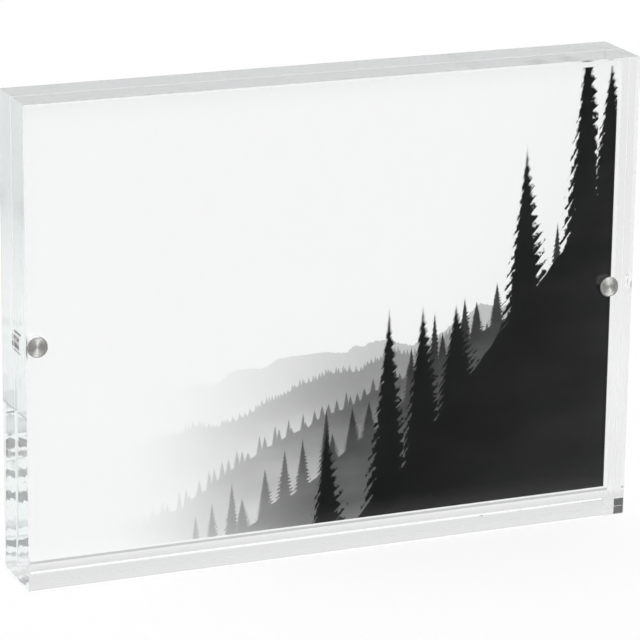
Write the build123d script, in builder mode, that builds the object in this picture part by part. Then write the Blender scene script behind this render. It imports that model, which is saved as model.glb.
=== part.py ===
"""Acrylic block frame: two clear slabs that hold a print between them by pairs of disc magnets.

Millimetres. X runs along the frame, Y from its front to its back and Z up. The origin is on the
table, under the middle of the frame. The two slabs mirror each other about the plane Y = 0.
"""

import os

from build123d import *

# Driving dimensions of the slabs
frame_width = 200.0
frame_height = 150.0
slab_thickness = 12.0
edge_chamfer = 0.4

# Disc magnets, one pair at each end of the frame
magnet_diameter = 6.35
magnet_thickness = 3.175
magnet_rim_radius = 0.2
magnet_end_inset = 5.3

# Print sheet, and how far its edges stay inside the slabs' edges
print_thickness = 0.25
print_side_margin = 2.5
print_top_margin = 2.5
print_bottom_margin = 6.0

# Clearances
print_clearance = 0.05
pocket_side_clearance = 0.05
pocket_floor_clearance = 0.05

# Values that follow from them
mating_gap = print_thickness + 2 * print_clearance
pocket_diameter = magnet_diameter + 2 * pocket_side_clearance
pocket_depth = magnet_thickness + pocket_floor_clearance
magnet_spacing = frame_width - 2 * magnet_end_inset
mid_height = frame_height / 2
print_width = frame_width - 2 * print_side_margin
print_height = frame_height - print_top_margin - print_bottom_margin
print_mid_height = print_bottom_margin + print_height / 2

# The slabs by the side of the print that they stand on
front, rear = -1, 1

os.makedirs("parts", exist_ok=True)


def mating_plane(side, x=0.0):
    """Plane on a slab's mating face at mid height, with its normal towards the other slab."""
    return Plane(origin=(x, side * mating_gap / 2, mid_height), x_dir=(1, 0, 0), z_dir=(0, -side, 0))


def finish(part, name):
    """Label a finished piece and write it as its own file."""
    part.label = name
    export_step(part, f"parts/{name}.step")


# Front slab: a polished block, sharp only round its mating face, with a blind pocket near each end
with BuildPart() as front_block:
    with BuildSketch(mating_plane(front)):
        Rectangle(frame_width, frame_height)
    extrude(amount=-slab_thickness)
    mating_edges = front_block.faces().sort_by(Axis.Y)[-1].edges()
    chamfer(front_block.edges() - mating_edges, length=edge_chamfer)
    with Locations(mating_plane(front)):
        with GridLocations(magnet_spacing, 0, 2, 1):
            Hole(radius=pocket_diameter / 2, depth=pocket_depth)
finish(front_block.part, "front_block")

# Rear slab: the mirror image of the front one, with its pockets facing the front slab's
with BuildPart() as rear_block:
    mirror(front_block.part, about=Plane.XZ)
finish(rear_block.part, "rear_block")

# Disc magnets: flush with the mating faces, each facing its partner across the print
for slab, side in (("front", front), ("rear", rear)):
    for end, x in (("left", -magnet_spacing / 2), ("right", magnet_spacing / 2)):
        with BuildPart() as magnet:
            with BuildSketch(mating_plane(side, x)):
                Circle(magnet_diameter / 2)
            extrude(amount=-magnet_thickness)
            fillet(magnet.edges(), radius=magnet_rim_radius)
        finish(magnet.part, f"{slab}_magnet_{end}")

# Print: a sheet in the gap, gripped at its left and right edges by the magnets
with BuildPart() as photo_print:
    with BuildSketch(Plane.XZ):
        with Locations((0, print_mid_height)):
            Rectangle(print_width, print_height)
    extrude(amount=print_thickness / 2, both=True)
finish(photo_print.part, "photo_print")
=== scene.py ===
"""Looks of an acrylic block frame: clear slabs, turned disc magnets, a monochrome print and a studio."""

import math
from collections import namedtuple

import bpy
from mathutils import Matrix, Vector


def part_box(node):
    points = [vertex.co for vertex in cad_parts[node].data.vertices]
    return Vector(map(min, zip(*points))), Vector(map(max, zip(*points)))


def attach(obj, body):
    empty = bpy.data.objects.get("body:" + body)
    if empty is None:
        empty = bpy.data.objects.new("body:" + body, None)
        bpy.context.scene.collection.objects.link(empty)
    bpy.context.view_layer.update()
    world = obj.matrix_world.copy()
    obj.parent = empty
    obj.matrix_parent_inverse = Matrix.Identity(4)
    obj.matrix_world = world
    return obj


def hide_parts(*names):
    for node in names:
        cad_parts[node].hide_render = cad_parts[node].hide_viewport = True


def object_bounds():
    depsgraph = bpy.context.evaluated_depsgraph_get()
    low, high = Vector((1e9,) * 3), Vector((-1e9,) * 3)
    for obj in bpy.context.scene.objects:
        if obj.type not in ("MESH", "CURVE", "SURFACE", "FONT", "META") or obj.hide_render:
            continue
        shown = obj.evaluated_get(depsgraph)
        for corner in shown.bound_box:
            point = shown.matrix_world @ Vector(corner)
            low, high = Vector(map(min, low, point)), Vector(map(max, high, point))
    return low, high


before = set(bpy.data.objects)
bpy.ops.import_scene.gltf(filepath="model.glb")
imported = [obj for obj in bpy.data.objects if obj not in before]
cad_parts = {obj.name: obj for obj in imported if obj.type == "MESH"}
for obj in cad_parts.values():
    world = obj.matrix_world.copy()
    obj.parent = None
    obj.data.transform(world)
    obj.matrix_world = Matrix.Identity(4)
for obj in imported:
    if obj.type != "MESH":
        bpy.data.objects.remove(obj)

bl_info = {
    "name": "Acrylic Block Frame",
    "version": (1, 0, 0),
    "blender": (4, 5, 0),
    "location": "3D View > Sidebar > Block Frame",
    "description": "Dresses a magnetic acrylic block frame: clear slabs, disc magnets, print and studio",
    "category": "Object",
}

MM = 0.001
CAD_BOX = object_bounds()
CAD_LOW, CAD_HIGH = CAD_BOX
CENTRE = (CAD_LOW + CAD_HIGH) / 2

# Names of the frame's nodes, by piece
SLABS = ("front_block", "rear_block")
MAGNETS = {
    "front": ("front_magnet_left", "front_magnet_right"),
    "rear": ("rear_magnet_left", "rear_magnet_right"),
}
PRINT = "photo_print"
PRINT_LOW, PRINT_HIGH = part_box(PRINT)


class AcrylicLook(bpy.types.PropertyGroup):
    """Clear cast acrylic with polished faces and finely machined edges."""

    ior: bpy.props.FloatProperty(
        name="Refraction", description="Refractive index of acrylic", default=1.49, min=1.0, max=2.0)
    tint: bpy.props.FloatVectorProperty(
        name="Tint", description="Colour that long paths through the slab take on",
        default=(0.83, 0.91, 0.905), size=3, min=0, max=1, subtype="COLOR")
    tint_density: bpy.props.FloatProperty(
        name="Tint density", description="How fast the tint builds up, per metre", default=2.2, min=0)
    edge_haze: bpy.props.FloatProperty(
        name="Edge haze", description="Roughness that machining leaves on the top edge", default=0.10,
        min=0, max=1, subtype="FACTOR")
    ease: bpy.props.FloatProperty(
        name="Eased edge", description="Width of the eased edges of the slabs", default=0.4 * MM,
        unit="LENGTH", min=0)
    ease_haze: bpy.props.FloatProperty(
        name="Eased edge haze", description="Roughness of the eased edges", default=0.4,
        min=0, max=1, subtype="FACTOR")
    rubbed_haze: bpy.props.FloatProperty(
        name="Rubbed haze", description="Roughness that prints rub into the upper mating faces",
        default=0.085, min=0, max=1, subtype="FACTOR")
    scuff_haze: bpy.props.FloatProperty(
        name="Scuff haze", description="Roughness inside hairline scuffs", default=0.03,
        min=0, max=1, subtype="FACTOR")
    ripple: bpy.props.FloatProperty(
        name="Ripple", description="Height of the ripples that polishing leaves on the narrow faces",
        default=0.0018 * MM, unit="LENGTH", min=0)


class MagnetLook(bpy.types.PropertyGroup):
    """Nickel-plated disc magnets with turned faces."""

    nickel: bpy.props.FloatVectorProperty(
        name="Nickel", description="Colour of the plating", default=(0.72, 0.71, 0.69),
        size=3, min=0, max=1, subtype="COLOR")
    ring_pitch: bpy.props.FloatProperty(
        name="Ring pitch", description="Distance between the turned rings", default=0.36 * MM,
        unit="LENGTH", min=0.1 * MM)
    ring_depth: bpy.props.FloatProperty(
        name="Ring depth", description="Depth of the turned rings", default=0.045 * MM,
        unit="LENGTH", min=0)
    rim_radius: bpy.props.FloatProperty(
        name="Rim radius", description="Rounding of the rim", default=0.2 * MM, unit="LENGTH", min=0)


class PrintLook(bpy.types.PropertyGroup):
    """Black and white landscape print on gloss paper."""

    paper: bpy.props.FloatVectorProperty(
        name="Paper", description="White of the paper", default=(0.94, 0.94, 0.94),
        size=3, min=0, max=1, subtype="COLOR")
    ink: bpy.props.FloatVectorProperty(
        name="Ink", description="Deepest black of the print", default=(0.0045, 0.0048, 0.0052),
        size=3, min=0, max=1, subtype="COLOR")
    border: bpy.props.FloatProperty(
        name="Border", description="Width of the unprinted border", default=1.4 * MM,
        unit="LENGTH", min=0)
    grain: bpy.props.FloatProperty(
        name="Grain", description="Size of the film grain", default=0.25 * MM,
        unit="LENGTH", min=0.05 * MM)


class StudioLook(bpy.types.PropertyGroup):
    """Place and lens of the camera."""

    azimuth: bpy.props.FloatProperty(
        name="Azimuth", description="Direction that the camera looks from",
        default=math.radians(-22.58), subtype="ANGLE")
    elevation: bpy.props.FloatProperty(
        name="Elevation", description="Height of the camera above the horizon",
        default=math.radians(16.64), subtype="ANGLE")
    roll: bpy.props.FloatProperty(
        name="Roll", description="Turn of the camera about its axis", default=math.radians(0.693),
        subtype="ANGLE")
    distance: bpy.props.FloatProperty(
        name="Distance", description="From the middle of the frame to the camera", default=1.069,
        unit="LENGTH", min=0.1)
    aim_right: bpy.props.FloatProperty(
        name="Aim right", description="How far the frame's middle stands right of the view's middle",
        default=1.4 * MM, unit="LENGTH")
    aim_up: bpy.props.FloatProperty(
        name="Aim up", description="How far the frame's middle stands above the view's middle",
        default=3.0 * MM, unit="LENGTH")
    lens: bpy.props.FloatProperty(
        name="Lens", description="Focal length in millimetres", default=195.3, min=1)


class BlockFrameLook(bpy.types.PropertyGroup):
    """All the sizes and colours of the dressed frame."""

    acrylic: bpy.props.PointerProperty(type=AcrylicLook)
    magnets: bpy.props.PointerProperty(type=MagnetLook)
    print_sheet: bpy.props.PointerProperty(type=PrintLook)
    studio: bpy.props.PointerProperty(type=StudioLook)


class NodeBench:
    """Short ways to add and join nodes in one tree."""

    def __init__(self, tree):
        self.tree = tree

    def add(self, kind, **values):
        node = self.tree.nodes.new(kind)
        for name, value in values.items():
            setattr(node, name, value)
        return node

    def feed(self, socket, value):
        """Join an output to a socket, or set the socket to a plain value."""
        if isinstance(value, bpy.types.NodeSocket):
            self.tree.links.new(value, socket)
        else:
            socket.default_value = value

    def fill(self, node, **inputs):
        """Feed a node's inputs by name, with underscores for blanks, and return the node."""
        for name, value in inputs.items():
            self.feed(node.inputs[name.replace("_", " ")], value)
        return node

    def math(self, operation, *values, clamp=False):
        node = self.add("ShaderNodeMath", operation=operation, use_clamp=clamp)
        for socket, value in zip(node.inputs, values):
            self.feed(socket, value)
        return node.outputs[0]

    def chain(self, operation, value, *others):
        """Result of one operation over several values in turn."""
        for other in others:
            value = self.math(operation, value, other)
        return value

    def ramp(self, value, low, high, low_to=0.0, high_to=1.0):
        """Smooth step of a value from one range to another."""
        node = self.add("ShaderNodeMapRange", interpolation_type="SMOOTHSTEP")
        for socket, item in zip(node.inputs, (value, low, high, low_to, high_to)):
            self.feed(socket, item)
        return node.outputs[0]

    def blend(self, factor, a, b):
        """Value between a, at factor 0, and b, at factor 1."""
        node = self.add("ShaderNodeMix", data_type="FLOAT")
        for socket, item in zip((node.inputs[0], node.inputs[2], node.inputs[3]), (factor, a, b)):
            self.feed(socket, item)
        return node.outputs[0]

    def tint(self, factor, a, b):
        """Colour between a, at factor 0, and b, at factor 1."""
        node = self.add("ShaderNodeMix", data_type="RGBA")
        for socket, item in zip((node.inputs[0], node.inputs[6], node.inputs[7]), (factor, a, b)):
            self.feed(socket, item)
        return node.outputs[2]

    def split(self, vector):
        node = self.add("ShaderNodeSeparateXYZ")
        self.feed(node.inputs[0], vector)
        return node.outputs[:3]

    def join(self, x, y, z):
        node = self.add("ShaderNodeCombineXYZ")
        for socket, item in zip(node.inputs, (x, y, z)):
            self.feed(socket, item)
        return node.outputs[0]

    def stretch(self, vector, scale):
        """Vector times a scale for each axis."""
        node = self.add("ShaderNodeVectorMath", operation="MULTIPLY")
        self.feed(node.inputs[0], vector)
        self.feed(node.inputs[1], scale)
        return node.outputs[0]

    def noise(self, place, scale=1.0, detail=2.0, roughness=0.5):
        """Soft noise about 0.5, along a line where place is a value and in space where it is a vector."""
        along = isinstance(place, bpy.types.NodeSocketFloat)
        node = self.add("ShaderNodeTexNoise", noise_dimensions="1D" if along else "3D")
        self.feed(node.inputs["W" if along else "Vector"], place)
        self.fill(node, Scale=scale, Detail=detail, Roughness=roughness)
        return node.outputs[0]


FLOAT, VECTOR, GEOMETRY = "NodeSocketFloat", "NodeSocketVector", "NodeSocketGeometry"
NOISE_MIDDLE = 0.5


def new_material(name):
    """An empty node material, with its tree's bench and its output node."""
    material = bpy.data.materials.new(name)
    material.use_nodes = True
    material.node_tree.nodes.clear()
    bench = NodeBench(material.node_tree)
    return material, bench, bench.add("ShaderNodeOutputMaterial")


def new_group(name, kind, inputs, outputs):
    """A node group: its tree, its bench, its input sockets by name and its output node."""
    tree = bpy.data.node_groups.new(name, kind)
    for side, sockets in (("INPUT", inputs), ("OUTPUT", outputs)):
        for label, socket_type in sockets:
            tree.interface.new_socket(label, in_out=side, socket_type=socket_type)
    bench = NodeBench(tree)
    return tree, bench, bench.add("NodeGroupInput").outputs, bench.add("NodeGroupOutput")


def object_place(bench):
    return bench.add("ShaderNodeTexCoord").outputs["Object"]


def opaque(colour):
    return (*colour, 1)


def darker(colour, share):
    """A share of a colour, as a node's opaque colour."""
    return opaque(share * part for part in colour)


def wear(node_name, material):
    """Give a CAD node its finished material."""
    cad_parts[node_name].material_slots[0].material = material


def link(obj):
    bpy.context.scene.collection.objects.link(obj)
    return obj


# Scuff lines, which run where stretched noise is at its middle, in three directions
SCUFF_TURNS = (0.5, 2.3, 3.9)
SCUFF_LEAN = (1.0, 0.7, 1.3)
SCUFF_STRETCH = (1.0, 14.0, 14.0)
SCUFF_WIDTH = 0.012

# Patches that the scuffs lie in, which grow with the share of the surface that is scuffed
PATCH_SCALE = 1.7
PATCH_NONE = 0.72
PATCH_GROWTH = 0.4
PATCH_SOFT = 0.12


def scuff_group():
    """Hairline scuffs in loose patches: 1 on a line, 0 off it."""
    name = "hairline_scuffs"
    if name in bpy.data.node_groups:
        return bpy.data.node_groups[name]
    tree, bench, given, out = new_group(
        name, "ShaderNodeTree", (("Place", VECTOR), ("Length", FLOAT), ("Share", FLOAT)),
        (("Mask", FLOAT),))
    shrink = bench.math("DIVIDE", 1.0, given["Length"])
    marks = 0.0
    for turn in SCUFF_TURNS:
        lean = bench.add("ShaderNodeVectorRotate", rotation_type="EULER_XYZ")
        bench.fill(lean, Vector=given["Place"], Rotation=tuple(turn * share for share in SCUFF_LEAN))
        field = bench.noise(bench.stretch(lean.outputs[0], SCUFF_STRETCH), shrink, detail=1.0)
        off = bench.math("ABSOLUTE", bench.math("SUBTRACT", field, NOISE_MIDDLE))
        marks = bench.math("MAXIMUM", marks, bench.ramp(off, 0.0, SCUFF_WIDTH, 1.0, 0.0))
    patch = bench.noise(given["Place"], bench.math("MULTIPLY", shrink, PATCH_SCALE))
    edge = bench.math("SUBTRACT", PATCH_NONE, bench.math("MULTIPLY", given["Share"], PATCH_GROWTH))
    patch = bench.ramp(patch, edge, bench.math("ADD", edge, PATCH_SOFT))
    bench.feed(out.inputs[0], bench.math("MULTIPLY", marks, patch))
    return tree


def scuffs(bench, place, length, share):
    """Scuff mask in a material, from the shared group."""
    node = bench.add("ShaderNodeGroup", node_tree=scuff_group())
    bench.fill(node, Place=place, Length=length, Share=share)
    return node.outputs["Mask"]


# Slabs: hazed skin of the top edge, masked share of an eased edge, and the large faces' share of ripple
TOP_SKIN = 0.2 * MM
EASE_SHARE = 0.98
FACE_RIPPLE = 0.25

# Marks on the slabs, with scales per metre along each axis
STREAK_SCALE = (12.0, 900.0, 0.0)
RIPPLE_SCALE = (90.0, 40.0, 220.0)
SLAB_SCUFF_LENGTH = 40 * MM
SLAB_SCUFF_SHARE = 0.25

# Mating faces, and the heights between which their rubbed part begins
MATING_SKIN = 0.005 * MM
MATING_REACH = MATING_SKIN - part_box("front_block")[1].y
RUBBED_BEGIN = 82 * MM
RUBBED_FULL = 92 * MM


def eased_edges(bench, place, ease):
    """Masks of the eased edges: those beside the large faces, above the base, and those at the corners."""
    x, y, z = bench.split(place)
    side = bench.math("SUBTRACT", CAD_HIGH.x, bench.math("ABSOLUTE", x))
    depth = bench.math("SUBTRACT", CAD_HIGH.y, bench.math("ABSOLUTE", y))
    below_top = bench.math("SUBTRACT", CAD_HIGH.z, z)
    above_base = bench.math("SUBTRACT", z, CAD_LOW.z)
    beside = bench.math("MAXIMUM", depth, bench.math("MINIMUM", side, below_top))
    corner = bench.math("MAXIMUM", side, bench.math("MINIMUM", below_top, above_base))
    return tuple(bench.math("LESS_THAN", reach, EASE_SHARE * ease) for reach in (beside, corner))


def levelled_normal(bench, normal, corner):
    """Normal of the surface, laid level on the eased edges at the corners."""
    level = bench.join(1.0, 1.0, bench.math("SUBTRACT", 1.0, corner))
    outward = bench.add("ShaderNodeVectorMath", operation="NORMALIZE")
    bench.feed(outward.inputs[0], bench.stretch(normal, level))
    return outward.outputs[0]


def polishing_ripple(bench, place, normal):
    """Height of the ripples that polishing leaves, calmer on the large faces."""
    swell = bench.noise(bench.stretch(place, RIPPLE_SCALE), detail=1.5)
    large = bench.math("ABSOLUTE", bench.split(normal)[1])
    return bench.math("MULTIPLY", swell, bench.math("MULTIPLY_ADD", large, FACE_RIPPLE - 1, 1.0))


def rubbed_faces(bench, place):
    """1 on the upper mating faces, which prints rub as they are slid in."""
    _, y, z = bench.split(place)
    mating = bench.math("LESS_THAN", bench.math("ABSOLUTE", y), MATING_REACH)
    return bench.math("MULTIPLY", mating, bench.ramp(z, RUBBED_BEGIN, RUBBED_FULL))


def acrylic_material(look):
    """Clear acrylic with a few hairlines, hazed top and eased edges, rubbed mating faces and ripples."""
    material, bench, out = new_material("polished_acrylic")
    place = object_place(bench)
    beside, corner = eased_edges(bench, place, look.ease)
    top = bench.ramp(bench.split(place)[2], CAD_HIGH.z - TOP_SKIN, CAD_HIGH.z)
    streak = bench.noise(bench.stretch(place, STREAK_SCALE), detail=3.0)
    streak = bench.math("MULTIPLY_ADD", streak, look.edge_haze, look.edge_haze / 2)
    marks = scuffs(bench, place, SLAB_SCUFF_LENGTH, SLAB_SCUFF_SHARE)
    marks = bench.math("MULTIPLY", marks, look.scuff_haze)
    rough = bench.math("ADD", bench.math("MULTIPLY", top, streak), marks)
    rough = bench.math("MAXIMUM", rough, bench.math("MULTIPLY", beside, look.ease_haze))
    rubbed = bench.math("MULTIPLY", rubbed_faces(bench, place), look.rubbed_haze)
    rough = bench.math("MAXIMUM", rough, rubbed)
    normal = bench.add("ShaderNodeNewGeometry").outputs["Normal"]
    bump = bench.add("ShaderNodeBump")
    bench.fill(bump, Distance=look.ripple, Height=polishing_ripple(bench, place, normal),
               Normal=levelled_normal(bench, normal, corner))
    glass = bench.add("ShaderNodeBsdfPrincipled")
    bench.fill(glass, Base_Color=(1, 1, 1, 1), Transmission_Weight=1.0, IOR=look.ior, Roughness=rough)
    bench.feed(glass.inputs["Normal"], bump.outputs[0])
    bench.feed(out.inputs["Surface"], glass.outputs[0])
    absorb = bench.add("ShaderNodeVolumeAbsorption")
    bench.fill(absorb, Color=opaque(look.tint), Density=look.tint_density)
    bench.feed(out.inputs["Volume"], absorb.outputs[0])
    return material


# Nickel plate: its clouds, how rough it is, and its hairlines
CLOUD_SCALE = 900.0
CLOUD_DULL = 0.82
PLATE_ROUGH = 0.12
CLOUD_ROUGH = 0.16
PLATE_SCUFF_ROUGH = 0.15
PLATE_SCUFF_LENGTH = 3 * MM
PLATE_SCUFF_SHARE = 0.8
PLATE_RELIEF = 0.004 * MM


def nickel_material(look):
    """Nickel plate: slightly clouded, with fine rubbed hairlines."""
    material, bench, out = new_material("turned_nickel")
    place = object_place(bench)
    cloud = bench.noise(place, CLOUD_SCALE, detail=3.0)
    marks = scuffs(bench, place, PLATE_SCUFF_LENGTH, PLATE_SCUFF_SHARE)
    colour = bench.tint(cloud, darker(look.nickel, CLOUD_DULL), opaque(look.nickel))
    rough = bench.math("MULTIPLY_ADD", cloud, CLOUD_ROUGH, PLATE_ROUGH)
    rough = bench.math("ADD", rough, bench.math("MULTIPLY", marks, PLATE_SCUFF_ROUGH))
    bump = bench.add("ShaderNodeBump")
    bench.fill(bump, Distance=PLATE_RELIEF, Height=bench.math("ADD", marks, cloud))
    metal = bench.add("ShaderNodeBsdfPrincipled")
    bench.fill(metal, Metallic=1.0, Base_Color=colour, Roughness=rough, Normal=bump.outputs[0])
    bench.feed(out.inputs["Surface"], metal.outputs[0])
    return material


# One ridge of the printed landscape, in millimetres of the print and shares of its white
Ridge = namedtuple("Ridge", "base rise swell tree_height tree_pitch seed tone mist depth clear")
RIDGES = (
    Ridge(base=58, rise=0.12, swell=14, tree_height=0.6, tree_pitch=1.2, seed=3.1,
          tone=0.60, mist=1.0, depth=38, clear=40),
    Ridge(base=48, rise=0.24, swell=10, tree_height=2.4, tree_pitch=1.1, seed=11.7,
          tone=0.34, mist=0.94, depth=34, clear=30),
    Ridge(base=36, rise=0.40, swell=9, tree_height=6.0, tree_pitch=2.4, seed=23.3,
          tone=0.13, mist=0.72, depth=40, clear=25),
    Ridge(base=20, rise=0.66, swell=8, tree_height=22, tree_pitch=6.0, seed=37.9,
          tone=0.03, mist=0.22, depth=60, clear=20),
    Ridge(base=-14, rise=1.22, swell=9, tree_height=66, tree_pitch=16.0, seed=53.4,
          tone=0.002, mist=0.025, depth=200, clear=-100),
)

# Rolls of a ridge's line, each with its length in millimetres and its share of the swell
ROLLS = ((70.0, 2.0), (11.0, 0.5))
GROUND_SOFT = 0.3

# Firs: scatter along the row, shortest share of the height, tiers, and half widths in tree pitches
FIR_SCATTER = 0.85
FIR_SHORTEST = 0.4
FIR_TIERS = 13.0
FIR_HALF = 0.52
FIR_NOTCH = 0.22
FIR_SOFT = 0.03

# Needles: grain along one tree pitch, least share of a fir's width and tone, and how far they vary
NEEDLE_GRAIN = 9.0
NEEDLE_WIDTH_LEAST = 0.25
NEEDLE_WIDTH_SPAN = 1.5
NEEDLE_TONE_LEAST = 0.6
NEEDLE_TONE_SPAN = 0.8

# Mist: where it thins towards a ridge's clear end, the size of its drifts in millimetres, and their share
FOG_REACH = 100
DRIFT_LENGTH = 38.0
DRIFT_HEIGHT = 13.0
DRIFT_SHARE = 0.7
MIST_BEGIN = 0.1


def socket_name(field):
    return field.replace("_", " ").capitalize()


def ridge_line(bench, given):
    """Height of a ridge's ground: a slope with long and short rolls."""
    line = bench.math("MULTIPLY_ADD", given["Rise"], given["Across"], given["Base"])
    for length, share in ROLLS:
        along = bench.math("ADD", bench.math("DIVIDE", given["Across"], length), given["Seed"])
        roll = bench.math("SUBTRACT", bench.noise(along), NOISE_MIDDLE)
        roll = bench.math("MULTIPLY", roll, bench.math("MULTIPLY", given["Swell"], share))
        line = bench.math("ADD", line, roll)
    return line


def fir_row(bench, given, above, needles):
    """1 inside the firs along a ridge's line, one in each cell of the row."""
    row = bench.math("ADD", bench.math("DIVIDE", given["Across"], given["Tree pitch"]), given["Seed"])
    cells = bench.add("ShaderNodeTexVoronoi", voronoi_dimensions="1D")
    bench.fill(cells, W=row, Scale=1.0, Randomness=FIR_SCATTER)
    size, shape, _ = bench.split(cells.outputs["Color"])
    away = bench.math("ABSOLUTE", bench.math("SUBTRACT", row, cells.outputs["W"]))
    tall = bench.math("MULTIPLY_ADD", size, 1 - FIR_SHORTEST, FIR_SHORTEST)
    rung = bench.math("DIVIDE", above, bench.math("MULTIPLY", given["Tree height"], tall))
    tier = bench.math("FRACT", bench.math("MULTIPLY_ADD", rung, FIR_TIERS, shape))
    half = bench.math("MULTIPLY_ADD", tier, -FIR_NOTCH, FIR_HALF)
    half = bench.math("MULTIPLY", bench.math("SUBTRACT", 1.0, rung), half)
    ragged = bench.math("MULTIPLY_ADD", needles, NEEDLE_WIDTH_SPAN, NEEDLE_WIDTH_LEAST)
    outside = bench.math("SUBTRACT", away, bench.math("MULTIPLY", half, ragged))
    return bench.ramp(outside, -FIR_SOFT, FIR_SOFT, 1.0, 0.0)


def mist_share(bench, given, above):
    """How far a ridge has sunk into drifting mist, from 0 at its treetops to 1 at its depth."""
    drift = bench.noise(
        bench.join(bench.math("DIVIDE", given["Across"], DRIFT_LENGTH),
                   bench.math("DIVIDE", given["Up"], DRIFT_HEIGHT), given["Seed"]), detail=3.0)
    drift = bench.math("MULTIPLY_ADD", drift, DRIFT_SHARE, -DRIFT_SHARE * NOISE_MIDDLE)
    sunk = bench.math("DIVIDE", bench.math("SUBTRACT", given["Tree height"], above), given["Depth"])
    return bench.ramp(bench.math("ADD", sunk, drift), MIST_BEGIN, 1.0)


def ridge_group():
    """Adds one wooded ridge, fading down into mist, in front of a backdrop. Lengths in millimetres."""
    names = ("Backdrop", "Across", "Up", *(socket_name(field) for field in Ridge._fields))
    tree, bench, given, out = new_group(
        "wooded_ridge", "ShaderNodeTree", tuple((name, FLOAT) for name in names), (("Tone", FLOAT),))
    above = bench.math("SUBTRACT", given["Up"], ridge_line(bench, given))
    needles = bench.noise(
        bench.join(given["Across"], given["Up"], given["Seed"]),
        bench.math("DIVIDE", NEEDLE_GRAIN, given["Tree pitch"]), detail=4.0, roughness=0.6)
    firs = fir_row(bench, given, above, needles)
    ground = bench.ramp(above, -GROUND_SOFT, GROUND_SOFT, 1.0, 0.0)
    fog = bench.ramp(
        given["Across"], bench.math("SUBTRACT", given["Clear"], FOG_REACH), given["Clear"])
    mask = bench.math("MULTIPLY", bench.math("MAXIMUM", firs, ground), fog)
    tone = bench.math("MULTIPLY_ADD", needles, NEEDLE_TONE_SPAN, NEEDLE_TONE_LEAST)
    tone = bench.math("MULTIPLY", given["Tone"], tone)
    tone = bench.blend(mist_share(bench, given, above), tone, given["Mist"])
    bench.feed(out.inputs[0], bench.blend(mask, given["Backdrop"], tone))
    return tree


def landscape(bench, across, up):
    """Tone of a misty range of wooded ridges, from 0 for ink to 1 for bare paper."""
    group = ridge_group()
    tone = 1.0
    for ridge in RIDGES:
        node = bench.add("ShaderNodeGroup", node_tree=group)
        bench.fill(node, Backdrop=tone, Across=across, Up=up)
        for field, value in ridge._asdict().items():
            node.inputs[socket_name(field)].default_value = value
        tone = node.outputs[0]
    return tone


# Printed front: film grain's share, skin of the sheet that carries it, and a painted shadow line along its
# lower edge
GRAIN_SHARE = 0.35
PRINT_SKIN = 0.01 * MM
PAINTED_EDGE_SHADE_TONE = 0.62
PAINTED_EDGE_SHADE_FULL = 0.6 * MM
PAINTED_EDGE_SHADE_END = 1.0 * MM

# Paper: its fibres, with scales per metre along each axis, and how rough and how glossy it is
FIBRE_SCALE = (2200.0, 2200.0, 5200.0)
FIBRE_SHADE = 0.93
FIBRE_RELIEF = 0.006 * MM
GLOSS_RELIEF_SHARE = 0.3
GLOSS_ROUGH = 0.24
GLOSS_FIBRE_ROUGH = 0.12
BARE_ROUGH = 0.75
PAPER_SPECULAR = 0.12


def white_border(bench, x, above, width):
    """1 on the unprinted border round the sheet."""
    side = bench.math("SUBTRACT", PRINT_HIGH.x, bench.math("ABSOLUTE", x))
    below = bench.math("SUBTRACT", PRINT_HIGH.z - PRINT_LOW.z, above)
    nearest = bench.chain("MINIMUM", side, above, below)
    return bench.math("LESS_THAN", nearest, width)


def picture_tone(bench, place, look):
    """Tone of the printed side: a grainy landscape inside a white border with a painted shadow line along
    its lower edge, from 0 for ink to 1 for paper.
    """
    x, _, z = bench.split(place)
    above = bench.math("SUBTRACT", z, PRINT_LOW.z)
    tone = landscape(bench, bench.math("DIVIDE", x, MM), bench.math("DIVIDE", above, MM))
    grain = bench.math("SUBTRACT", bench.noise(place, 1 / look.grain, detail=1.0), NOISE_MIDDLE)
    middle = bench.math("MULTIPLY", tone, bench.math("SUBTRACT", 1.0, tone))
    tone = bench.math(
        "MULTIPLY_ADD", grain, bench.math("MULTIPLY", middle, GRAIN_SHARE), tone, clamp=True)
    # Painted shadow: the tone darkens within a millimetre of the sheet's lower edge
    painted_edge_shade = bench.ramp(above, PAINTED_EDGE_SHADE_FULL, PAINTED_EDGE_SHADE_END, PAINTED_EDGE_SHADE_TONE, 1.0)
    return bench.blend(white_border(bench, x, above, look.border), tone, painted_edge_shade)


def print_material(look):
    """Gloss print on its front, bare fibrous paper on its back and edges."""
    material, bench, out = new_material("gloss_print")
    place = object_place(bench)
    front = bench.math("LESS_THAN", bench.split(place)[1], PRINT_LOW.y + PRINT_SKIN)
    picture = bench.tint(picture_tone(bench, place, look), opaque(look.ink), opaque(look.paper))
    fibre = bench.noise(bench.stretch(place, FIBRE_SCALE), detail=4.0, roughness=0.65)
    bare = bench.tint(fibre, darker(look.paper, FIBRE_SHADE), opaque(look.paper))
    gloss = bench.math("MULTIPLY_ADD", fibre, GLOSS_FIBRE_ROUGH, GLOSS_ROUGH)
    relief = bench.math("MULTIPLY", fibre, bench.blend(front, 1.0, GLOSS_RELIEF_SHARE))
    bump = bench.add("ShaderNodeBump")
    bench.fill(bump, Distance=FIBRE_RELIEF, Height=relief)
    paper = bench.add("ShaderNodeBsdfPrincipled")
    bench.fill(paper, Base_Color=bench.tint(front, bare, picture), Specular_IOR_Level=PAPER_SPECULAR,
               Roughness=bench.blend(front, BARE_ROUGH, gloss), Normal=bump.outputs[0])
    bench.feed(out.inputs["Surface"], paper.outputs[0])
    return material


class BLOCKFRAME_OT_slabs(bpy.types.Operator):
    """Polish both slabs as clear acrylic"""

    bl_idname = "blockframe.slabs"
    bl_label = "Acrylic Slabs"

    def execute(self, context):
        material = acrylic_material(context.scene.block_frame.acrylic)
        for name in SLABS:
            wear(name, material)
        return {"FINISHED"}


DISC_SIDES = 128
DISC_RINGS = 96


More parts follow.
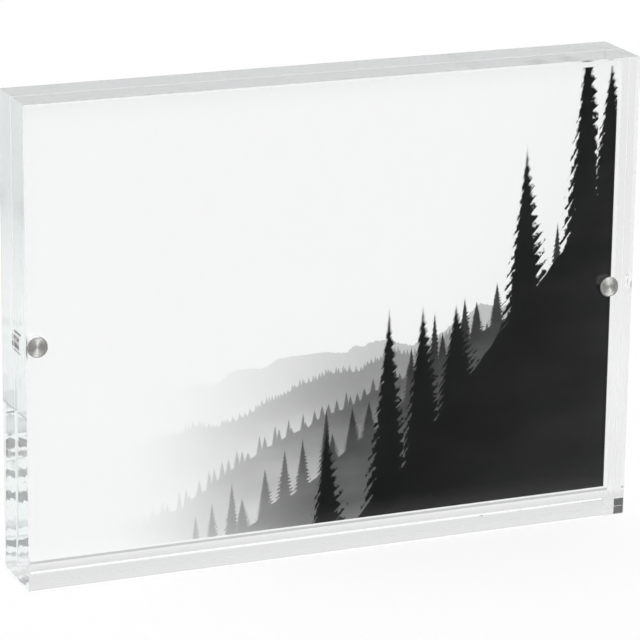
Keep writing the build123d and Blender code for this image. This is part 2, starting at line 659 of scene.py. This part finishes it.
def turned_height(bench, given, reach, z):
    """Height of a disc's face, cut by turned rings and rounded off at its rim."""
    rim = given["Rim radius"]
    flat = bench.math("SUBTRACT", given["Radius"], rim)
    past = bench.math("MAXIMUM", bench.math("SUBTRACT", reach, flat), 0.0)
    left = bench.math("SUBTRACT", bench.math("MULTIPLY", rim, rim), bench.math("MULTIPLY", past, past))
    drop = bench.math("SUBTRACT", rim, bench.math("SQRT", bench.math("MAXIMUM", left, 0.0)))
    turn = bench.math("MULTIPLY", bench.math("DIVIDE", reach, given["Ring pitch"]), 2 * math.pi)
    groove = bench.math("MULTIPLY_ADD", bench.math("COSINE", turn), -0.5, 0.5)
    groove = bench.math("MULTIPLY", groove, bench.math("LESS_THAN", reach, flat))
    cut = bench.math("MULTIPLY_ADD", groove, given["Ring depth"], drop)
    return bench.math("SUBTRACT", bench.math("ABSOLUTE", z), cut)


def magnet_tree():
    """Geometry nodes of a pair of discs side by side, with turned rings on their faces and round rims."""
    sizes = ("Radius", "Thickness", "Ring pitch", "Ring depth", "Rim radius")
    tree, bench, given, out = new_group(
        "disc_magnet_pair", "GeometryNodeTree",
        (*((name, FLOAT) for name in sizes), ("Left", VECTOR), ("Right", VECTOR),
         ("Material", "NodeSocketMaterial")),
        (("Geometry", GEOMETRY),))
    disc = bench.add("GeometryNodeMeshCylinder", fill_type="TRIANGLE_FAN")
    bench.fill(disc, Vertices=DISC_SIDES, Side_Segments=1, Fill_Segments=DISC_RINGS,
               Radius=given["Radius"], Depth=given["Thickness"])
    x, y, z = bench.split(bench.add("GeometryNodeInputPosition").outputs[0])
    square = bench.math("ADD", bench.math("MULTIPLY", x, x), bench.math("MULTIPLY", y, y))
    height = turned_height(bench, given, bench.math("SQRT", square), z)
    place = bench.join(x, y, bench.math("MULTIPLY", bench.math("SIGN", z), height))
    shaped = bench.add("GeometryNodeSetPosition")
    bench.fill(shaped, Geometry=disc.outputs["Mesh"], Position=place)
    smooth = bench.add("GeometryNodeSetShadeSmooth")
    bench.feed(smooth.inputs["Geometry"], shaped.outputs[0])
    ends = bench.add("GeometryNodeMeshLine", mode="END_POINTS")
    bench.fill(ends, Count=2, Start_Location=given["Left"])
    bench.feed(ends.inputs["Offset"], given["Right"])
    pair = bench.add("GeometryNodeInstanceOnPoints")
    bench.fill(pair, Points=ends.outputs[0], Instance=smooth.outputs[0], Rotation=(math.pi / 2, 0, 0))
    real = bench.add("GeometryNodeRealizeInstances")
    bench.feed(real.inputs[0], pair.outputs[0])
    plated = bench.add("GeometryNodeSetMaterial")
    bench.fill(plated, Geometry=real.outputs[0], Material=given["Material"])
    bench.feed(out.inputs[0], plated.outputs[0])
    return tree


def make_magnet_pair(body, tree, look, material):
    """Both magnets of one slab, as one plain mesh."""
    (left_low, left_high), (right_low, right_high) = (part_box(name) for name in MAGNETS[body])
    values = {
        "Radius": (left_high.x - left_low.x) / 2,
        "Thickness": left_high.y - left_low.y,
        "Ring pitch": look.ring_pitch,
        "Ring depth": look.ring_depth,
        "Rim radius": look.rim_radius,
        "Left": (left_low + left_high) / 2,
        "Right": (right_low + right_high) / 2,
        "Material": material,
    }
    piece = link(bpy.data.objects.new(f"{body}_magnets", bpy.data.meshes.new(f"{body}_magnets")))
    modifier = piece.modifiers.new("disc_magnet_pair", "NODES")
    modifier.node_group = tree
    for item in tree.interface.items_tree:
        if item.in_out == "INPUT":
            modifier[item.identifier] = values[item.name]
    settled = piece.evaluated_get(bpy.context.evaluated_depsgraph_get())
    mesh = bpy.data.meshes.new_from_object(settled)
    piece.modifiers.clear()
    piece.data = mesh
    if not mesh.polygons:
        raise RuntimeError(f"the {body} magnets came out empty")
    return piece


class BLOCKFRAME_OT_magnets(bpy.types.Operator):
    """Turn and plate the disc magnets"""

    bl_idname = "blockframe.magnets"
    bl_label = "Disc Magnets"

    def execute(self, context):
        look = context.scene.block_frame.magnets
        material = nickel_material(look)
        tree = magnet_tree()
        for body, names in MAGNETS.items():
            piece = make_magnet_pair(body, tree, look, material)
            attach(piece, body)
            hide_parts(*names)
        return {"FINISHED"}


class BLOCKFRAME_OT_print(bpy.types.Operator):
    """Print the sheet between the slabs"""

    bl_idname = "blockframe.print_sheet"
    bl_label = "Print"

    def execute(self, context):
        wear(PRINT, print_material(context.scene.block_frame.print_sheet))
        return {"FINISHED"}


# Camera: sensor in millimetres, and the nearest and farthest that it sees
SENSOR_WIDTH = 36.0
CLIP_NEAR = 0.01
CLIP_FAR = 100.0


def place_camera(look):
    """Stand the camera where the photograph was taken from."""
    data = bpy.data.cameras.new("camera")
    data.lens = look.lens
    data.sensor_width = SENSOR_WIDTH
    data.clip_start = CLIP_NEAR
    data.clip_end = CLIP_FAR
    camera = link(bpy.data.objects.new("camera", data))
    azimuth, elevation = look.azimuth, look.elevation
    back = Vector((math.sin(azimuth) * math.cos(elevation),
                   -math.cos(azimuth) * math.cos(elevation), math.sin(elevation)))
    level_right = Vector((0, 0, 1)).cross(back).normalized()
    level_up = back.cross(level_right)
    turn = Matrix.Rotation(look.roll, 3, back)
    right, up = turn @ level_right, turn @ level_up
    spot = CENTRE + back * look.distance - right * look.aim_right - up * look.aim_up
    camera.matrix_world = Matrix.Translation(spot) @ Matrix((right, up, back)).transposed().to_4x4()
    bpy.context.scene.camera = camera


# Kinds of rays: mirror bounces of a zigzag along a slab, and surfaces passed by a ray off a magnet
ZIGZAG_BOUNCES = 3
DEEP_PASSES = 4


def from_count(bench, depth, count):
    """1 where a ray's depth, a whole number, is at least the count."""
    return bench.math("GREATER_THAN", depth, count - 0.5)


class RayKinds:
    """Masks by what a ray has met on its way: each is 1 for the rays of its kind."""

    def __init__(self, bench):
        path = bench.add("ShaderNodeLightPath").outputs
        bounces = path["Glossy Depth"]
        shown = bench.math("ADD", path["Is Camera Ray"], path["Is Glossy Ray"])
        self.through = path["Is Transmission Ray"]
        self.background = bench.math("ADD", shown, self.through, clamp=True)
        self.unscattered = bench.math("SUBTRACT", 1.0, from_count(bench, path["Diffuse Depth"], 1))
        self.deep = from_count(bench, path["Transmission Depth"], DEEP_PASSES)
        self.zigzag = from_count(bench, bounces, ZIGZAG_BOUNCES)
        self.mirrored = bench.math("SUBTRACT", from_count(bench, bounces, 1), self.zigzag)
        self.once = bench.math("SUBTRACT", from_count(bench, bounces, 1), from_count(bench, bounces, 2))


# Floor: its place, its colour, and how much of it glows as a plain background
FLOOR_DROP = 0.2 * MM
FLOOR_REACH = 30.0
FLOOR_COLOUR = (0.8, 0.8, 0.8)
FLOOR_GLOW = 1.07
FLOOR_GLOW_SHARE = 0.7

# Painted shadow on the floor under and near the frame, seen only through the acrylic
UNDER_EDGE = CAD_HIGH.y
UNDER_SHADE = 0.24
UNDER_SOFT = 1 * MM
CONTACT_SHADE = 0.2
CONTACT_REACH = 10 * MM
NEAR_FULL = 20 * MM
NEAR_END = 160 * MM
NEAR_SHADE = 0.06

# Shades of the floor behind on the left, and in front where zigzag rays show it, through the acrylic
BACK_LEFT_SHADE = 0.1
BACK_LEFT_REACH = 100 * MM
BACK_BEGIN = 20 * MM
BACK_FULL = 200 * MM
END_FRONT_SHADE = 0.04
END_FRONT_FULL = -300 * MM
END_FRONT_BEGIN = -130 * MM

# Dark of the floor in front, where it is mirrored
FRONT_BEGIN = CAD_LOW.y
FRONT_FULL = -40 * MM
FRONT_DARK = 0.94
FRONT_DEEP_DARK = 0.65


def shade_through(bench, rays, x, y):
    """Painted shade of the floor as the acrylic shows it: a contact shadow under the frame and near it, and
    darker floor behind it and in its ends.
    """
    off = bench.math("ABSOLUTE", y)
    # Painted contact shadow under the frame and beside it
    contact = bench.ramp(off, UNDER_EDGE, UNDER_EDGE + CONTACT_REACH, CONTACT_SHADE, 0.0)
    beneath = bench.ramp(off, UNDER_EDGE, UNDER_EDGE + UNDER_SOFT, UNDER_SHADE, 0.0)
    under = bench.blend(rays.zigzag, contact, beneath)
    near = bench.ramp(off, NEAR_FULL, NEAR_END, NEAR_SHADE, 0.0)
    left = bench.ramp(x, -BACK_LEFT_REACH, BACK_LEFT_REACH, BACK_LEFT_SHADE, 0.0)
    back_left = bench.math("MULTIPLY", left, bench.ramp(y, BACK_BEGIN, BACK_FULL))
    ends = bench.ramp(y, END_FRONT_FULL, END_FRONT_BEGIN, END_FRONT_SHADE, 0.0)
    ends = bench.math("MULTIPLY", rays.zigzag, ends)
    return bench.math("MULTIPLY", rays.through, bench.chain("ADD", under, near, back_left, ends))


def shade_mirrored(bench, rays, y):
    """Shade of the floor in front of the frame, as mirrored rays show it."""
    front = bench.ramp(y, FRONT_FULL, FRONT_BEGIN, 1.0, 0.0)
    dark = bench.blend(rays.deep, FRONT_DARK, FRONT_DEEP_DARK)
    return bench.chain("MULTIPLY", rays.mirrored, dark, front)


def floor_material():
    """Pale floor. Its painted shades, a contact shadow under the frame among them, show only through the
    acrylic and in mirrored rays.
    """
    material, bench, out = new_material("floor")
    rays = RayKinds(bench)
    x, y, _ = bench.split(object_place(bench))
    shade = bench.math("ADD", shade_through(bench, rays, x, y), shade_mirrored(bench, rays, y))
    tone = bench.math("SUBTRACT", 1.0, bench.math("MULTIPLY", rays.unscattered, shade))
    matt = bench.add("ShaderNodeBsdfDiffuse")
    bench.feed(matt.inputs["Color"], bench.tint(tone, (0, 0, 0, 1), opaque(FLOOR_COLOUR)))
    glow = bench.add("ShaderNodeEmission")
    bench.feed(glow.inputs["Strength"], bench.math("MULTIPLY", tone, FLOOR_GLOW))
    part = bench.add("ShaderNodeMixShader")
    bench.feed(part.inputs[0], bench.math("MULTIPLY", rays.background, FLOOR_GLOW_SHARE))
    bench.feed(part.inputs[1], matt.outputs[0])
    bench.feed(part.inputs[2], glow.outputs[0])
    bench.feed(out.inputs["Surface"], part.outputs[0])
    return material


def make_floor():
    mesh = bpy.data.meshes.new("floor")
    reach, level = FLOOR_REACH, CAD_LOW.z - FLOOR_DROP
    corners = [(x * reach, y * reach, level) for x, y in ((-1, -1), (1, -1), (1, 1), (-1, 1))]
    mesh.from_pydata(corners, [], [(0, 1, 2, 3)])
    mesh.materials.append(floor_material())
    floor = link(bpy.data.objects.new("floor", mesh))


# Light of the room, light that reaches the print through the slabs, and tone of the mirrored backdrop
ROOM_LIGHT = 1.04
PRINT_LIGHT = 1.16
BACKDROP_TONE = 0.77

# Broken bars in front of the frame, which show in its left end, as parts of the direction looked in
BAR_PITCH = 0.0022
BAR_WIDTH = 0.03
BAR_EDGE = (0.5, 0.54)
BAR_FADE = -0.3
BAR_CLUSTER = 3
BAR_CLUSTER_EDGE = (0.35, 0.65)
BAR_TONES = (0.16, 0.75)

# Dark card behind the frame, by its bearing: metres aside for each metre ahead
CARD_TONE = 0.02
CARD_NEAR = -0.5261
CARD_FAR = -0.62
CARD_SHARP = 0.0004
CARD_SOFT = 0.05

# Softbox in front of the frame, by its bearing, which lights the magnets' rings
SOFTBOX_TONE = 3.2
SOFTBOX_BEARING = -0.42
SOFTBOX_FULL = 0.18
SOFTBOX_EDGE = 0.3
SOFTBOX_FADE = -0.2


def broken_bars(bench, direction):
    """Mask of the broken bars in front, and their tone."""
    _, y, z = bench.split(direction)
    clutter = bench.noise(bench.stretch(direction, (1 / BAR_WIDTH, 0.0, 1 / BAR_PITCH)), detail=1.0)
    mask = bench.math("MULTIPLY", bench.ramp(clutter, *BAR_EDGE), bench.ramp(y, BAR_FADE, 0.0, 1.0, 0.0))
    cluster = bench.noise(bench.math("DIVIDE", z, BAR_CLUSTER * BAR_PITCH), detail=0.0)
    return mask, bench.ramp(cluster, *BAR_CLUSTER_EDGE, *BAR_TONES)


def dark_card(bench, bearing, y):
    """Mask of the card behind the frame, with one sharp edge and one soft one."""
    soft = bench.ramp(bearing, CARD_FAR, CARD_FAR + CARD_SOFT)
    sharp = bench.ramp(bearing, CARD_NEAR, CARD_NEAR + CARD_SHARP, 1.0, 0.0)
    return bench.chain("MULTIPLY", soft, sharp, bench.math("GREATER_THAN", y, 0.0))


def softbox(bench, bearing, y):
    """Mask of the softbox in front of the frame."""
    aside = bench.math("ABSOLUTE", bench.math("SUBTRACT", bearing, SOFTBOX_BEARING))
    ahead = bench.ramp(y, SOFTBOX_FADE, 0.0, 1.0, 0.0)
    return bench.math("MULTIPLY", ahead, bench.ramp(aside, SOFTBOX_FULL, SOFTBOX_EDGE, 1.0, 0.0))


def make_world():
    """White surroundings, with bars, a card and a softbox that show only in mirrored rays."""
    world = bpy.data.worlds.new("studio")
    world.use_nodes = True
    world.node_tree.nodes.clear()
    bench = NodeBench(world.node_tree)
    out = bench.add("ShaderNodeOutputWorld")
    rays = RayKinds(bench)
    direction = bench.add("ShaderNodeTexCoord").outputs["Generated"]
    x, y, _ = bench.split(direction)
    bearing = bench.math("DIVIDE", x, y)
    bars, bar_tone = broken_bars(bench, direction)
    bars = bench.math("MULTIPLY", bars, rays.zigzag)
    card = bench.math("MULTIPLY", dark_card(bench, bearing, y), rays.mirrored)
    lit = bench.chain("MULTIPLY", rays.deep, rays.once, softbox(bench, bearing, y))
    backdrop = bench.blend(rays.mirrored, 1.0, BACKDROP_TONE)
    for mask, tone in ((bars, bar_tone), (card, CARD_TONE), (lit, SOFTBOX_TONE)):
        backdrop = bench.blend(mask, backdrop, tone)
    through = bench.blend(rays.unscattered, PRINT_LIGHT, backdrop)
    seen = bench.blend(rays.through, 1.0, through)
    sky = bench.add("ShaderNodeBackground")
    bench.fill(sky, Color=(1, 1, 1, 1), Strength=bench.blend(rays.background, ROOM_LIGHT, seen))
    bench.feed(out.inputs["Surface"], sky.outputs[0])
    bpy.context.scene.world = world


# Bounces that rays need to come out of the slabs again
RAY_BOUNCES = 32


class BLOCKFRAME_OT_studio(bpy.types.Operator):
    """Set up the camera, the floor and the light"""

    bl_idname = "blockframe.studio"
    bl_label = "Studio"

    def execute(self, context):
        scene = context.scene
        place_camera(scene.block_frame.studio)
        make_floor()
        make_world()
        scene.view_settings.view_transform = "Standard"
        scene.cycles.max_bounces = RAY_BOUNCES
        scene.cycles.glossy_bounces = RAY_BOUNCES
        scene.cycles.transmission_bounces = RAY_BOUNCES
        scene.cycles.blur_glossy = 0.0
        return {"FINISHED"}


class BLOCKFRAME_PT_panel(bpy.types.Panel):
    """Steps that dress the block frame"""

    bl_idname = "BLOCKFRAME_PT_panel"
    bl_label = "Block Frame"
    bl_space_type = "VIEW_3D"
    bl_region_type = "UI"
    bl_category = "Block Frame"

    def draw(self, context):
        for step in STEPS:
            self.layout.operator(step.bl_idname)


STEPS = (BLOCKFRAME_OT_slabs, BLOCKFRAME_OT_magnets, BLOCKFRAME_OT_print, BLOCKFRAME_OT_studio)
CLASSES = (AcrylicLook, MagnetLook, PrintLook, StudioLook, BlockFrameLook, *STEPS, BLOCKFRAME_PT_panel)


def register():
    for cls in CLASSES:
        bpy.utils.register_class(cls)
    bpy.types.Scene.block_frame = bpy.props.PointerProperty(type=BlockFrameLook)


def unregister():
    del bpy.types.Scene.block_frame
    for cls in reversed(CLASSES):
        bpy.utils.unregister_class(cls)


def main():
    register()
    bpy.ops.blockframe.slabs()
    bpy.ops.blockframe.magnets()
    bpy.ops.blockframe.print_sheet()
    bpy.ops.blockframe.studio()


if __name__ == "__main__":
    main()
